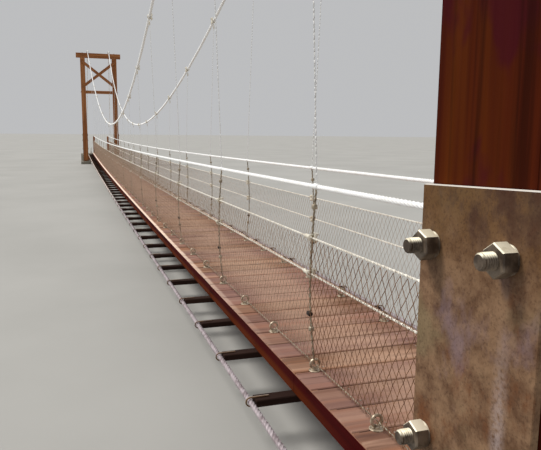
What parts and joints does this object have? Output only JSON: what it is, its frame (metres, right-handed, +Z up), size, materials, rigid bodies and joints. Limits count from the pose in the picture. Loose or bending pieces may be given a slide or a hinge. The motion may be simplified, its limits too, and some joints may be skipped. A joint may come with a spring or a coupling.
{
  "type": "rope suspension footbridge",
  "caption": "Narrow suspension footbridge with timber towers, main cables and suspenders, a sagging board deck, cable handrails with mesh sides, and concrete anchor blocks.",
  "frame": {"origin": "on the ground at the middle of the span, centre of the bounding box's underside", "axes": "+X along the span from the near tower to the far tower, +Y to the left, +Z up"},
  "size_m": [39.56, 2.2, 5.8029],
  "materials": {
    "board": "weathered, pinkish brown, unpainted",
    "red_timber": "dark red-brown stain, weathered",
    "bearer": "dark brown, weathered",
    "rope": "galvanised wire rope",
    "steel": "grey-brown with rust mottling",
    "concrete": "rough grey concrete"
  },
  "bodies": {
    "root": {"deck_boards": "board", "left_edge_board": "red_timber", "right_edge_board": "red_timber", "deck_frame": "bearer", "left_outer_cable": "rope", "right_outer_cable": "rope", "left_handrail": "rope", "right_handrail": "rope", "left_main_cable": "rope", "right_main_cable": "rope", "near_left_footing": "concrete", "near_left_shoe": "steel", "near_left_leg": "red_timber", "near_left_saddle": "steel", "near_left_rail_post": "red_timber", "near_left_anchor_block": "concrete", "near_left_main_lug": "steel", "near_left_rail_lug": "steel", "near_right_footing": "concrete", "near_right_shoe": "steel", "near_right_leg": "red_timber", "near_right_saddle": "steel", "near_right_rail_post": "red_timber", "near_right_anchor_block": "concrete", "near_right_main_lug": "steel", "near_right_rail_lug": "steel", "near_cap_beam": "red_timber", "near_strut": "red_timber", "near_sill": "red_timber", "near_cross_brace": "red_timber", "far_left_footing": "concrete", "far_left_shoe": "steel", "far_left_leg": "red_timber", "far_left_saddle": "steel", "far_left_rail_post": "red_timber", "far_left_anchor_block": "concrete", "far_left_main_lug": "steel", "far_left_rail_lug": "steel", "far_right_footing": "concrete", "far_right_shoe": "steel", "far_right_leg": "red_timber", "far_right_saddle": "steel", "far_right_rail_post": "red_timber", "far_right_anchor_block": "concrete", "far_right_main_lug": "steel", "far_right_rail_lug": "steel", "far_cap_beam": "red_timber", "far_strut": "red_timber", "far_sill": "red_timber", "far_cross_brace": "red_timber"}
  },
  "joints": []
}
